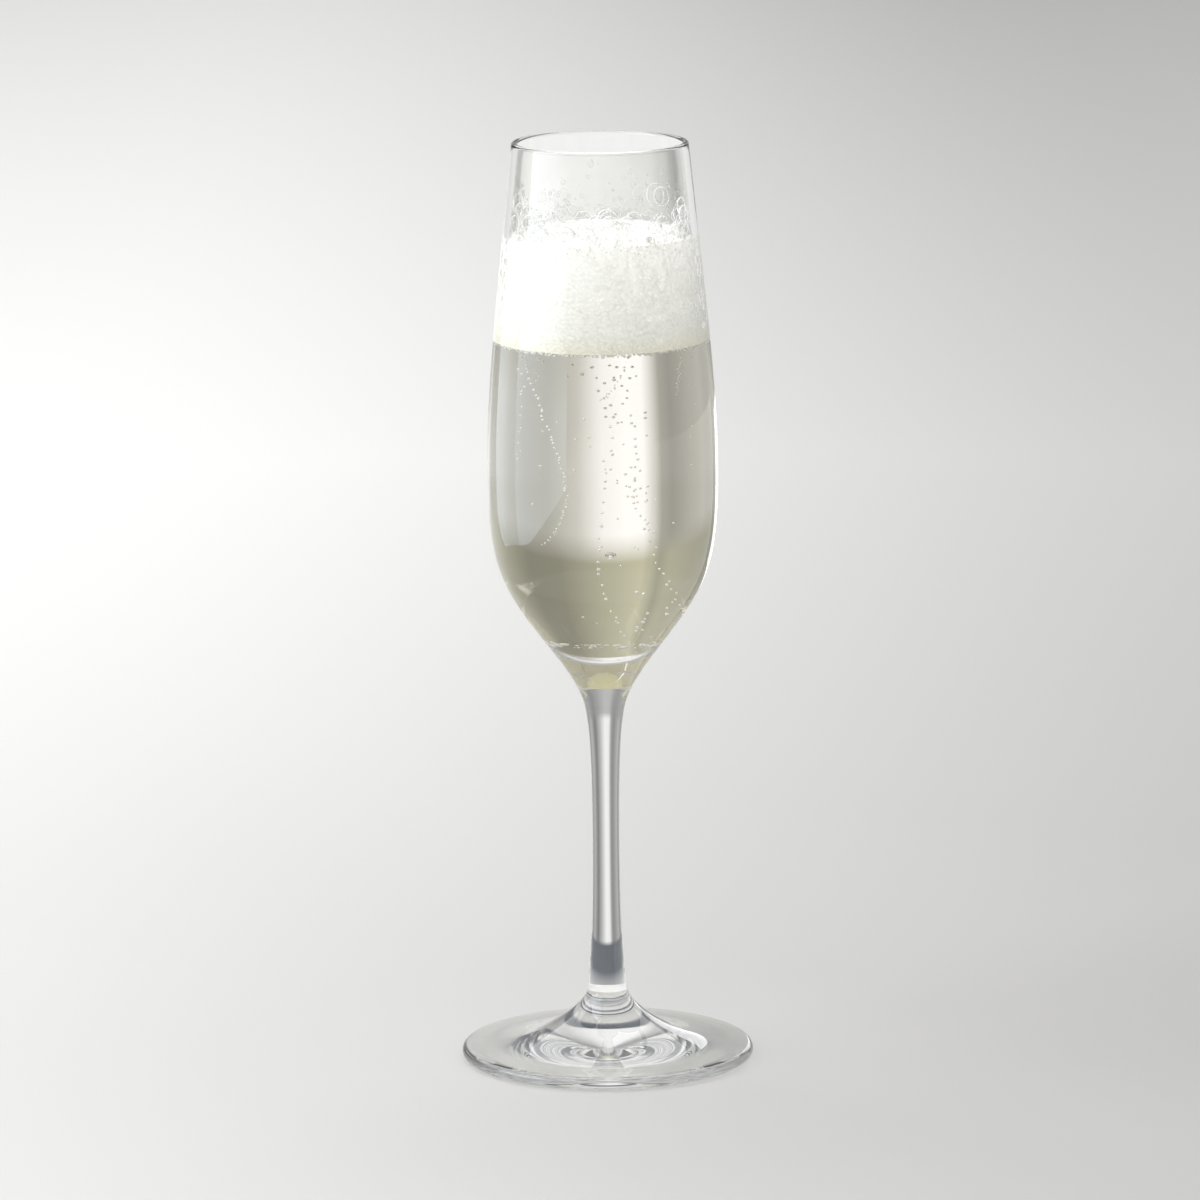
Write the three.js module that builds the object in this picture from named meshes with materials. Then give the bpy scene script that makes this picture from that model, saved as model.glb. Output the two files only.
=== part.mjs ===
// A champagne flute, filled. Its clear moulded bowl, stem and foot are bonded end to end on flat
// joints, and the drink and its head of foam stand in the bowl.
// Millimetres, +Z up. The origin is the middle of the ring that the foot stands on.
import * as THREE from "three";

// Driving dimensions: heights are measured from the table, radii from the axis.
const HEIGHT = 240;
const FOOT_RADIUS = 38;
const LIP_THICKNESS = 3; // the foot's edge, fully rounded
const FOOT_JOINT_HEIGHT = 17.6; // where the foot's hub meets the stem
const FOOT_JOINT_RADIUS = 5.1;
const WAIST_HEIGHT = 57.7; // the stem's slimmest point
const WAIST_RADIUS = 3.55;
const BOWL_JOINT_HEIGHT = 98.8; // where the stem meets the bowl
const BOWL_JOINT_RADIUS = 7.5;
const CONE_HEIGHT = 106.7; // where the bowl's outside is a straight cone, below its belly
const CONE_RADIUS = 12.8;
const BELLY_HEIGHT = 155; // the bowl's widest point
const BELLY_RADIUS = 29.65;
const RIM_RADIUS = 22.7;
const CAVITY_FLOOR = 107.7; // lowest point inside the bowl
const CORNER_RISE = 4.8; // how far the corner of floor and wall lies above it
const WALL_AT_RIM = 1.6;
const WALL_AT_BELLY = 1.9;
const WALL_AT_CONE = 4.6;
const DRINK_LEVEL = 189;
const FOAM_TOP = 218; // top of the foam's low dome
const FOAM_DOME = 2; // how far the dome rises above its edge

const WET_GAP = 0.3; // gap from the wall to the drink's and the foam's solids
const AROUND = 48; // facets round the axis

// How far each outline leans outwards as it climbs, as radius over height.
const HUB_LEAN = -0.25;
const STEM_FOOT_LEAN = -0.083;
const STEM_TOP_LEAN = 0.4;
const BOWL_BOTTOM_LEAN = 0.6;
const CONE_LEAN = 0.76;
const RIM_LEAN = -0.1;

// The foot's underside: a standing ring at the edge, and a shallow hollow inside it.
const RING_INNER_RADIUS = 33;
const HOLLOW_HEIGHT = 2.2;
const PLATE_RADIUS = 30; // the hub's flare has become the plate by here
const PLATE_HEIGHT = 3.4;
const PLATE_FALL = 0.05; // how fast the plate falls outwards

// How far the handles of each curve reach from its ends.
const REACH = {
  hollowOut: 12,
  ringIn: 9,
  plateOut: 3,
  plateIn: 11,
  hubDown: 5.5,
  stemUpFromFoot: 8.5,
  waistDown: 24.2,
  waistUp: 38.3,
  stemDownFromBowl: 4.7,
  bowlUpFromStem: 2.6,
  coneDown: 3,
  coneUp: 17.3,
  bellyDown: 27.2,
  bellyUp: 24.3,
  rimDown: 36,
};

const at = (radius, height) => new THREE.Vector2(radius, height);

// A point that lies climb higher (or lower, if negative) than another, along a lean.
const along = (point, lean, climb) => at(point.x + lean * climb, point.y + climb);

// One smooth stretch of an outline, leaving start and reaching end along their handles.
function sweep(start, startHandle, endHandle, end, steps) {
  return new THREE.CubicBezierCurve(start, startHandle, endHandle, end).getPoints(steps);
}

// An arc of a circle in the outline, from one angle to another, both in degrees.
function arc(centre, radius, fromAngle, toAngle, steps) {
  const turn = THREE.MathUtils.degToRad;
  const curve = new THREE.EllipseCurve(
    centre.x, centre.y, radius, radius, turn(fromAngle), turn(toAngle), toAngle < fromAngle,
  );
  return curve.getPoints(steps);
}

// Where a stretch begins on the point that the last one ended on, the point is kept once.
function outline(...stretches) {
  const points = [];
  for (const point of stretches.flat()) {
    const last = points.at(-1);
    if (!last || last.distanceTo(point) > 1e-3) {
      points.push(point);
    }
  }
  return points;
}

// A smooth stretch that leaves start and reaches end along leans of their own. Each reach is how
// far its handle lies above or below its end.
function bend(start, startLean, startReach, endLean, endReach, end, steps) {
  const startHandle = along(start, startLean, startReach);
  const endHandle = along(end, endLean, -endReach);
  return sweep(start, startHandle, endHandle, end, steps);
}

// Each point of an outline moved inwards, square to the outline, by a depth given for its height.
function inset(points, depthAt) {
  return points.map((point, i) => {
    const before = points[Math.max(i - 1, 0)];
    const after = points[Math.min(i + 1, points.length - 1)];
    const run = after.clone().sub(before).normalize();
    const depth = depthAt(point.y);
    return at(point.x - run.y * depth, point.y + run.x * depth);
  });
}

// A piece turned about the axis from its outline, which runs from the axis back to the axis
// anticlockwise, so that the faces point out.
function turned(name, points, look) {
  const mesh = new THREE.Mesh(
    new THREE.LatheGeometry(points, AROUND),
    new THREE.MeshStandardMaterial({ metalness: 0, ...look }),
  );
  mesh.geometry.rotateX(Math.PI / 2);
  mesh.name = name;
  return mesh;
}

const CLEAR_PLASTIC = { color: 0xf3f5f4, roughness: 0.04, transparent: true, opacity: 0.3 };
const CHAMPAGNE = { color: 0xe9e2b4, roughness: 0.03, transparent: true, opacity: 0.6 };
const FOAM = { color: 0xf8f7f0, roughness: 0.7 };

const footJoint = at(FOOT_JOINT_RADIUS, FOOT_JOINT_HEIGHT);
const waist = at(WAIST_RADIUS, WAIST_HEIGHT);
const bowlJoint = at(BOWL_JOINT_RADIUS, BOWL_JOINT_HEIGHT);
const cone = at(CONE_RADIUS, CONE_HEIGHT);
const belly = at(BELLY_RADIUS, BELLY_HEIGHT);
const rim = at(RIM_RADIUS, HEIGHT - WALL_AT_RIM / 2);

// The bowl's outside, from the stem to just under the rounded rim.
const bowlOutside = outline(
  bend(bowlJoint, BOWL_BOTTOM_LEAN, REACH.bowlUpFromStem, CONE_LEAN, REACH.coneDown, cone, 4),
  bend(cone, CONE_LEAN, REACH.coneUp, 0, REACH.bellyDown, belly, 9),
  bend(belly, 0, REACH.bellyUp, RIM_LEAN, REACH.rimDown, rim, 7),
);

// The wall thickens smoothly from the rim to the belly, and from the belly down to the cone.
function wallAt(height) {
  if (height > BELLY_HEIGHT) {
    return THREE.MathUtils.mapLinear(height, BELLY_HEIGHT, HEIGHT, WALL_AT_BELLY, WALL_AT_RIM);
  }
  const down = THREE.MathUtils.clamp(
    THREE.MathUtils.inverseLerp(BELLY_HEIGHT, CONE_HEIGHT, height), 0, 1,
  );
  return THREE.MathUtils.lerp(WALL_AT_BELLY, WALL_AT_CONE, down * down);
}

// The inside of the bowl: a shallow round floor from the axis to a corner, then the wall up to
// the rim. depth is how far the line runs inside the bowl's own surface.
function bowlInside(depth) {
  const wall = inset(bowlOutside, (height) => wallAt(height) + depth)
    .filter((point) => point.y > CAVITY_FLOOR + CORNER_RISE);
  const floor = at(0, CAVITY_FLOOR + depth);
  const corner = wall[0];
  const floorHandle = at(corner.x / 2, floor.y);
  const cornerHandle = at(corner.x * 0.67, corner.y - CORNER_RISE * 0.6);
  return outline(sweep(floor, floorHandle, cornerHandle, corner, 5), wall);
}

function bowl() {
  const inside = bowlInside(0);
  const lipCentre = at((rim.x + inside.at(-1).x) / 2, rim.y);
  const lipRadius = (rim.x - inside.at(-1).x) / 2;
  const points = outline(
    [at(0, BOWL_JOINT_HEIGHT)],
    bowlOutside,
    arc(lipCentre, lipRadius, 0, 180, 6).slice(1, -1),
    inside.toReversed(),
  );
  return turned("bowl", points, CLEAR_PLASTIC);
}

function stem() {
  const points = outline(
    [at(0, FOOT_JOINT_HEIGHT)],
    bend(footJoint, STEM_FOOT_LEAN, REACH.stemUpFromFoot, 0, REACH.waistDown, waist, 6),
    bend(waist, 0, REACH.waistUp, STEM_TOP_LEAN, REACH.stemDownFromBowl, bowlJoint, 8),
    [at(0, BOWL_JOINT_HEIGHT)],
  );
  return turned("stem", points, CLEAR_PLASTIC);
}

function foot() {
  const lipRadius = LIP_THICKNESS / 2;
  const lipCentre = at(FOOT_RADIUS - lipRadius, lipRadius);
  const lipTop = at(lipCentre.x, LIP_THICKNESS);
  const plate = at(PLATE_RADIUS, PLATE_HEIGHT);
  const onPlate = (out) => at(plate.x + out, plate.y - out * PLATE_FALL);
  const hollow = at(0, HOLLOW_HEIGHT);
  const hollowHandle = at(REACH.hollowOut, HOLLOW_HEIGHT);
  const ring = at(RING_INNER_RADIUS, 0);
  const ringHandle = at(RING_INNER_RADIUS - REACH.ringIn, REACH.ringIn * PLATE_FALL);
  const hubHandle = along(footJoint, HUB_LEAN, -REACH.hubDown);
  const points = outline(
    sweep(hollow, hollowHandle, ringHandle, ring, 5),
    arc(lipCentre, lipRadius, -90, 90, 8),
    sweep(lipTop, lipTop, onPlate(REACH.plateOut), plate, 2),
    sweep(plate, onPlate(-REACH.plateIn), hubHandle, footJoint, 10),
    [at(0, FOOT_JOINT_HEIGHT)],
  );
  return turned("foot", points, CLEAR_PLASTIC);
}

// The stretch of the wetted wall between two heights, with its ends cut level.
function wettedWall(low, high) {
  const wall = bowlInside(WET_GAP);
  const radiusAt = (height) => {
    const i = wall.findIndex((point) => point.y > height);
    const share = (height - wall[i - 1].y) / (wall[i].y - wall[i - 1].y);
    return THREE.MathUtils.lerp(wall[i - 1].x, wall[i].x, share);
  };
  const between = wall.filter((point) => point.y > low + 0.5 && point.y < high - 0.5);
  const start = low > wall[0].y ? [at(radiusAt(low), low)] : [wall[0]];
  return outline(start, between, [at(radiusAt(high), high)]);
}

function champagne() {
  const points = outline(wettedWall(CAVITY_FLOOR, DRINK_LEVEL), [at(0, DRINK_LEVEL)]);
  return turned("champagne", points, CHAMPAGNE);
}

function foamHead() {
  const side = wettedWall(DRINK_LEVEL, FOAM_TOP - FOAM_DOME);
  const edge = side.at(-1);
  const top = at(0, FOAM_TOP);
  const points = outline(
    [at(0, DRINK_LEVEL)],
    side,
    sweep(edge, at(edge.x * 0.85, edge.y + FOAM_DOME), at(edge.x * 0.4, top.y), top, 4),
  );
  return turned("foam_head", points, FOAM);
}

const flute = new THREE.Group();
flute.add(bowl(), stem(), foot(), champagne(), foamHead());

export default flute;
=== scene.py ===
"""The looks of a filled champagne flute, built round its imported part. Metres, +Z up.

The clear pieces are turned again here from the same outlines as the part's, with fine steps.
The bowl, stem and foot are bonded, so light crosses their joints as if they were one solid.
The drink is a tinted body inside the bowl, and the wall that it wets bends light less than the
dry wall does. Bubbles, splashes and the foam are loose shapes that ride along.
"""
import math

import bmesh
import bpy
import numpy as np
from mathutils import Matrix, Vector


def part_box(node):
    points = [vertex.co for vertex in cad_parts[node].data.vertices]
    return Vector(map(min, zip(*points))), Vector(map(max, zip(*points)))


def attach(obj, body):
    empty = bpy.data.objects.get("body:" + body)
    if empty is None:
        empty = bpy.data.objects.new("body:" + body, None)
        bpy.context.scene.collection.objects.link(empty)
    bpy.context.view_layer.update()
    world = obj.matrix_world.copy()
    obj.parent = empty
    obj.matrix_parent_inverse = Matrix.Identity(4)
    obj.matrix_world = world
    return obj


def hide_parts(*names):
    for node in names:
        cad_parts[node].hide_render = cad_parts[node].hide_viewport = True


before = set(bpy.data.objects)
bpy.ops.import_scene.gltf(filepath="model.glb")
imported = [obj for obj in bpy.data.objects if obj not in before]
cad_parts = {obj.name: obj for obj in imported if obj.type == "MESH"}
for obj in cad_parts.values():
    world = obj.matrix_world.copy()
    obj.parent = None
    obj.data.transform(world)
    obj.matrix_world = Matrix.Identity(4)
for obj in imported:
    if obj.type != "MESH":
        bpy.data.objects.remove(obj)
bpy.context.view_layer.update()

MM = 0.001
AROUND = 192  # steps round the axis on the clear pieces
CHANCE = np.random.default_rng(11)


# ---------------------------------------------------------------- sizes, worked out from the frame

def low(node):
    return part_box(node)[0][2]


def top(node):
    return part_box(node)[1][2]


def widest(node):
    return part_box(node)[1][0]


RIM_HEIGHT = top("bowl")
BOWL_JOINT_HEIGHT = low("bowl")
BELLY_RADIUS = widest("bowl")
BOWL_JOINT_RADIUS = widest("stem")
FOOT_JOINT_HEIGHT = low("stem")
FOOT_RADIUS = widest("foot")
DRINK_LEVEL = top("champagne")
WET_GAP = 0.3 * MM  # the gap that the drink's plain solid keeps to the wall
CAVITY_FLOOR = low("champagne") - WET_GAP
FOAM_TOP = top("foam_head")

FOOT_JOINT_RADIUS = 5.1 * MM
WAIST_HEIGHT = 57.7 * MM
WAIST_RADIUS = 3.55 * MM
CONE_HEIGHT = 106.7 * MM
CONE_RADIUS = 12.8 * MM
BELLY_HEIGHT = 155 * MM
RIM_RADIUS = 22.7 * MM
WALL_AT_RIM = 1.6 * MM
WALL_AT_BELLY = 1.9 * MM
WALL_AT_CONE = 4.6 * MM
LIP_THICKNESS = 3 * MM
RING_INNER_RADIUS = 33 * MM
HOLLOW_HEIGHT = 2.2 * MM
CORNER_RISE = 4.8 * MM
PLATE_RADIUS = 30 * MM
PLATE_HEIGHT = 3.4 * MM
FOAM_DOME = 2 * MM  # how far the foam's low dome rises above its edge
FOAM_EDGE = FOAM_TOP - FOAM_DOME
SKIN_GAP = 0.03 * MM  # the drink and the foam all but touch the wall here

# how far each outline leans outwards as it climbs, as radius over height
HUB_LEAN = -0.25
STEM_FOOT_LEAN = HUB_LEAN / 3
STEM_TOP_LEAN = 0.4
BOWL_BOTTOM_LEAN = 0.6
CONE_LEAN = 0.76
RIM_LEAN = -0.1
PLATE_FALL = 0.05  # how fast the foot's plate falls outwards

# how far the handles of each curve reach from its ends
HOLLOW_OUT = 12 * MM
RING_IN = 9 * MM
PLATE_OUT = 3 * MM
PLATE_IN = 11 * MM
HUB_DOWN = 5.5 * MM
STEM_UP_FROM_FOOT = 8.5 * MM
WAIST_DOWN = 24.2 * MM
WAIST_UP = 38.3 * MM
STEM_DOWN_FROM_BOWL = 4.7 * MM
BOWL_UP_FROM_STEM = 2.6 * MM
CONE_DOWN = 3 * MM
CONE_UP = 17.3 * MM
BELLY_DOWN = 27.2 * MM
BELLY_UP = 24.3 * MM
RIM_DOWN = 36 * MM


# ---------------------------------------------------------------- outlines

def at(radius, height):
    return np.array([radius, height])


def along(point, lean, climb):
    """A point that lies climb higher than another, along a lean of radius over height."""
    return point + climb * np.array([lean, 1.0])


def sweep(start, start_handle, end_handle, end, steps):
    """A cubic Bezier: (1-t)^3 start + 3 (1-t)^2 t handle + 3 (1-t) t^2 handle + t^3 end."""
    t = np.linspace(0, 1, steps + 1)[:, None]
    return (
        (1 - t) ** 3 * start + 3 * (1 - t) ** 2 * t * start_handle
        + 3 * (1 - t) * t ** 2 * end_handle + t ** 3 * end
    )


def arc(centre, radius, from_degrees, to_degrees, steps):
    """A circle's arc: centre + radius (cos a, sin a)."""
    a = np.radians(np.linspace(from_degrees, to_degrees, steps + 1))
    return centre + radius * np.column_stack([np.cos(a), np.sin(a)])


def outline(*stretches):
    """Stretches joined end to end, with a point that two of them share kept once."""
    points = np.concatenate([np.atleast_2d(s) for s in stretches])
    steps = np.linalg.norm(np.diff(points, axis=0), axis=1)
    return points[np.concatenate([[True], steps > 1e-7])]


def bend(start, start_lean, start_reach, end_lean, end_reach, end, steps):
    """A smooth stretch that leaves start and reaches end along leans of their own."""
    return sweep(start, along(start, start_lean, start_reach),
                 along(end, end_lean, -end_reach), end, steps)


def inset(points, depth):
    """Each point moved inwards, square to the line through its two neighbours, by its depth."""
    run = np.gradient(points, axis=0)
    run /= np.linalg.norm(run, axis=1)[:, None]
    return points + depth[:, None] * np.column_stack([-run[:, 1], run[:, 0]])


foot_joint = at(FOOT_JOINT_RADIUS, FOOT_JOINT_HEIGHT)
waist = at(WAIST_RADIUS, WAIST_HEIGHT)
bowl_joint = at(BOWL_JOINT_RADIUS, BOWL_JOINT_HEIGHT)
cone = at(CONE_RADIUS, CONE_HEIGHT)
belly = at(BELLY_RADIUS, BELLY_HEIGHT)
rim = at(RIM_RADIUS, RIM_HEIGHT - WALL_AT_RIM / 2)

bowl_outside = outline(
    bend(bowl_joint, BOWL_BOTTOM_LEAN, BOWL_UP_FROM_STEM, CONE_LEAN, CONE_DOWN, cone, 24),
    bend(cone, CONE_LEAN, CONE_UP, 0, BELLY_DOWN, belly, 48),
    bend(belly, 0, BELLY_UP, RIM_LEAN, RIM_DOWN, rim, 56),
)


def wall_at(height):
    """The wall's thickness: linear from belly to rim, and growing by a square down to the cone."""
    up = np.interp(height, [BELLY_HEIGHT, RIM_HEIGHT], [WALL_AT_BELLY, WALL_AT_RIM])
    down = np.clip((BELLY_HEIGHT - height) / (BELLY_HEIGHT - CONE_HEIGHT), 0, 1) ** 2
    return np.where(height > BELLY_HEIGHT, up,
                    WALL_AT_BELLY + down * (WALL_AT_CONE - WALL_AT_BELLY))


def bowl_inside(depth=0.0):
    """The inside from its floor on the axis, round the corner and up to the rim, run depth inside
    the bowl's own surface."""
    wall = inset(bowl_outside, wall_at(bowl_outside[:, 1]) + depth)
    wall = wall[wall[:, 1] > CAVITY_FLOOR + CORNER_RISE]
    floor = at(0, CAVITY_FLOOR + depth)
    corner = wall[0]
    floor_handle = at(corner[0] / 2, floor[1])
    corner_handle = at(corner[0] * 0.67, corner[1] - CORNER_RISE * 0.6)
    return outline(sweep(floor, floor_handle, corner_handle, corner, 28), wall)


def inner_radius(height, depth=0.0):
    """The radius of the bowl's inside at a height."""
    inside = bowl_inside(depth)
    return np.interp(height, inside[:, 1], inside[:, 0])


# ---------------------------------------------------------------- meshes

def piece_from(name, vertices, faces, finishes, finish_of_face=None):
    """A new object from whole arrays, shaded smooth except across sharp turns."""
    mesh = bpy.data.meshes.new(name)
    mesh.from_pydata(vertices.tolist(), [], faces)
    for finish in finishes:
        mesh.materials.append(finish)
    if finish_of_face is not None:
        mesh.polygons.foreach_set("material_index", np.asarray(finish_of_face, dtype=np.int32))
    mesh.polygons.foreach_set("use_smooth", np.ones(len(mesh.polygons), dtype=bool))
    mesh.update()
    mesh.set_sharp_from_angle(angle=math.radians(40))
    piece = bpy.data.objects.new(name, mesh)
    bpy.context.collection.objects.link(piece)
    return piece


def turned(name, points, finishes, finish_of_face=None):
    """A surface of revolution: (radius cos a, radius sin a, height) for each point of an outline
    that starts and ends on the axis, where the ring shrinks to one point. The finishes of the
    faces are given for each band of the outline, or for each face of each band."""
    a = np.linspace(0, 2 * math.pi, AROUND, endpoint=False)
    ring = points[1:-1]
    x = ring[:, :1] * np.cos(a)
    y = ring[:, :1] * np.sin(a)
    z = np.repeat(ring[:, 1:], AROUND, axis=1)
    vertices = np.concatenate([
        [[0, 0, points[0, 1]]],
        np.stack([x, y, z], axis=-1).reshape(-1, 3),
        [[0, 0, points[-1, 1]]],
    ])
    rows = len(ring)
    here = np.arange(AROUND)
    beyond = (here + 1) % AROUND
    first = 1 + here
    quads = [
        np.column_stack([1 + j * AROUND + here, 1 + j * AROUND + beyond,
                         1 + (j + 1) * AROUND + beyond, 1 + (j + 1) * AROUND + here])
        for j in range(rows - 1)
    ]
    last = 1 + (rows - 1) * AROUND
    tip = np.full(AROUND, len(vertices) - 1)
    faces = np.column_stack([np.zeros(AROUND, int), 1 + beyond, first]).tolist()
    faces += np.concatenate(quads).tolist()
    faces += np.column_stack([last + here, last + beyond, tip]).tolist()
    if finish_of_face is not None:
        finish_of_face = np.broadcast_to(
            np.reshape(finish_of_face, (len(points) - 1, -1)), (len(points) - 1, AROUND),
        ).ravel()
    return piece_from(name, vertices, faces, finishes, finish_of_face)


def unit_bead(subdivisions):
    """A round bead of eighty faces, or four times as many for each subdivision above two, as
    arrays of corners and of faces."""
    bm = bmesh.new()
    bmesh.ops.create_icosphere(bm, subdivisions=subdivisions, radius=1)
    corners = np.array([v.co for v in bm.verts])
    faces = np.array([[v.index for v in f.verts] for f in bm.faces])
    bm.free()
    return corners, faces


SMALL_BEAD = unit_bead(2)
FINE_BEAD = unit_bead(3)


def round_axis(radius, a, height):
    """Places at turns about the axis: (radius cos a, radius sin a, height)."""
    return np.column_stack([radius * np.cos(a), radius * np.sin(a), height])


def outward_and_level(a):
    """The directions out from the axis and level round it, at each turn about it."""
    nought, one = np.zeros(len(a)), np.ones(len(a))
    return round_axis(one, a, nought), round_axis(one, a + math.pi / 2, nought)


def beads(name, centres, sizes, finish, turns=None, shape=SMALL_BEAD):
    """Many beads in one mesh: each is the unit bead times its three half-sizes, turned by its
    own matrix if one is given, and moved to its centre."""
    bead_corners, bead_faces = shape
    centres = np.asarray(centres)
    sizes = np.asarray(sizes)
    if sizes.ndim == 1:
        sizes = np.repeat(sizes[:, None], 3, axis=1)
    shapes = bead_corners[None] * sizes[:, None]
    if turns is not None:
        shapes = np.einsum("nij,nkj->nki", turns, shapes)
    vertices = (shapes + centres[:, None]).reshape(-1, 3)
    offsets = np.arange(len(centres))[:, None, None] * len(bead_corners)
    faces = (bead_faces[None] + offsets).reshape(-1, 3).tolist()
    return piece_from(name, vertices, faces, [finish])


# ---------------------------------------------------------------- materials

def linear(hex_colour, alpha=1.0):
    """An sRGB hex colour as linear light: ((c + 0.055) / 1.055)^2.4, or c / 12.92 when dark."""
    parts = [int(hex_colour[i:i + 2], 16) / 255 for i in (1, 3, 5)]
    light = [c / 12.92 if c <= 0.04045 else ((c + 0.055) / 1.055) ** 2.4 for c in parts]
    return (*light, alpha)


def new_material(name):
    material = bpy.data.materials.new(name)
    material.use_nodes = True
    material.node_tree.nodes.clear()
    return material, material.node_tree


def add(tree, kind, inputs=None, **properties):
    """Adds a node: properties are its own settings, and inputs are socket values or links."""
    node = tree.nodes.new(kind)
    for name, value in properties.items():
        setattr(node, name, value)
    for name, value in (inputs or {}).items():
        if isinstance(value, bpy.types.NodeSocket):
            tree.links.new(value, node.inputs[name])
        else:
            node.inputs[name].default_value = value
    return node


def share_of_climb(tree, low_height, high_height):
    """Nought below the low height, one above the high height, and even in between."""
    place = add(tree, "ShaderNodeTexCoord").outputs["Object"]
    split = add(tree, "ShaderNodeSeparateXYZ", {0: place})
    climb = add(tree, "ShaderNodeMapRange", {
        0: split.outputs[2], 1: low_height, 2: high_height, 3: 0.0, 4: 1.0,
    })
    return climb.outputs[0]


def let_lamps_through(tree, shader, shade):
    """Clear matter stops no lamp: shadow rays pass it, dimmed where it is seen edge on."""
    path = add(tree, "ShaderNodeLightPath")
    facing = add(tree, "ShaderNodeLayerWeight", {"Blend": 0.35})
    dimmed = add(tree, "ShaderNodeMix", {
        0: facing.outputs["Facing"], 6: (1, 1, 1, 1), 7: shade,
    }, data_type="RGBA")
    open_way = add(tree, "ShaderNodeBsdfTransparent", {"Color": dimmed.outputs[2]})
    return add(tree, "ShaderNodeMixShader", {
        0: path.outputs["Is Shadow Ray"], 1: shader, 2: open_way.outputs[0],
    }).outputs[0]


# Acrylic, injection moulded in a polished tool: water-clear, faintly warm in the thick parts,
# with a mirror-smooth skin that the tool's flow lines barely disturb.
ACRYLIC_IOR = 1.49
CHAMPAGNE_IOR = 1.343
AIR_BUBBLE_IOR = 1 / CHAMPAGNE_IOR


def moulded_acrylic(name, ior, ripple=0.02):
    """Clear polished acrylic. ripple is how much the flow lines disturb its skin."""
    material, tree = new_material(name)
    place = add(tree, "ShaderNodeTexCoord").outputs["Object"]
    flow = add(tree, "ShaderNodeMapping", {"Vector": place, "Scale": (1, 1, 0.25)})
    waves = add(tree, "ShaderNodeTexNoise", {
        "Vector": flow.outputs[0], "Scale": 1 / (9 * MM), "Detail": 1.0,
    })
    skin = add(tree, "ShaderNodeBump", {
        "Height": waves.outputs[0], "Strength": ripple, "Distance": 1 * MM,
    })
    clear = add(tree, "ShaderNodeBsdfPrincipled", {
        "Base Color": linear("#fdfdfb"), "Roughness": 0.0, "IOR": ior,
        "Transmission Weight": 1.0, "Normal": skin.outputs[0],
    })
    surface = let_lamps_through(tree, clear.outputs[0], linear("#b2b4b6"))
    add(tree, "ShaderNodeOutputMaterial", {"Surface": surface})
    return material


def bonded_joint():
    """Solvent-bonded faces that have nearly become one: light crosses them, and only a trace of the
    seam gleams when it is seen edge on, as a painted highlight of lit white."""
    material, tree = new_material("solvent_bonded_face")
    edge_on = add(tree, "ShaderNodeLayerWeight", {"Blend": 0.2})
    clear = add(tree, "ShaderNodeBsdfTransparent", {"Color": (1, 1, 1, 1)})
    # painted highlight: a lit white that shows on the seam where it is seen edge on
    seam = add(tree, "ShaderNodeBsdfDiffuse", {"Color": (1, 1, 1, 1)})
    face = add(tree, "ShaderNodeMixShader", {
        0: edge_on.outputs["Facing"], 1: clear.outputs[0], 2: seam.outputs[0],
    })
    add(tree, "ShaderNodeOutputMaterial", {"Surface": face.outputs[0]})
    return material


def sparkling_wine():
    """Champagne, pale straw: it takes a little blue from light on the way through. The wall
    outside it does the bending, so its own skin bends nothing."""
    material, tree = new_material("champagne_pale_straw")
    skin = add(tree, "ShaderNodeBsdfPrincipled", {
        "Base Color": (1, 1, 1, 1), "Roughness": 0.0, "IOR": 1.0, "Transmission Weight": 1.0,
    })
    surface = let_lamps_through(tree, skin.outputs[0], linear("#fbf7e4"))
    tint = add(tree, "ShaderNodeVolumeAbsorption", {"Color": (0.94, 0.84, 0.36, 1), "Density": 2.4})
    add(tree, "ShaderNodeOutputMaterial", {"Surface": surface, "Volume": tint.outputs[0]})
    return material


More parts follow.
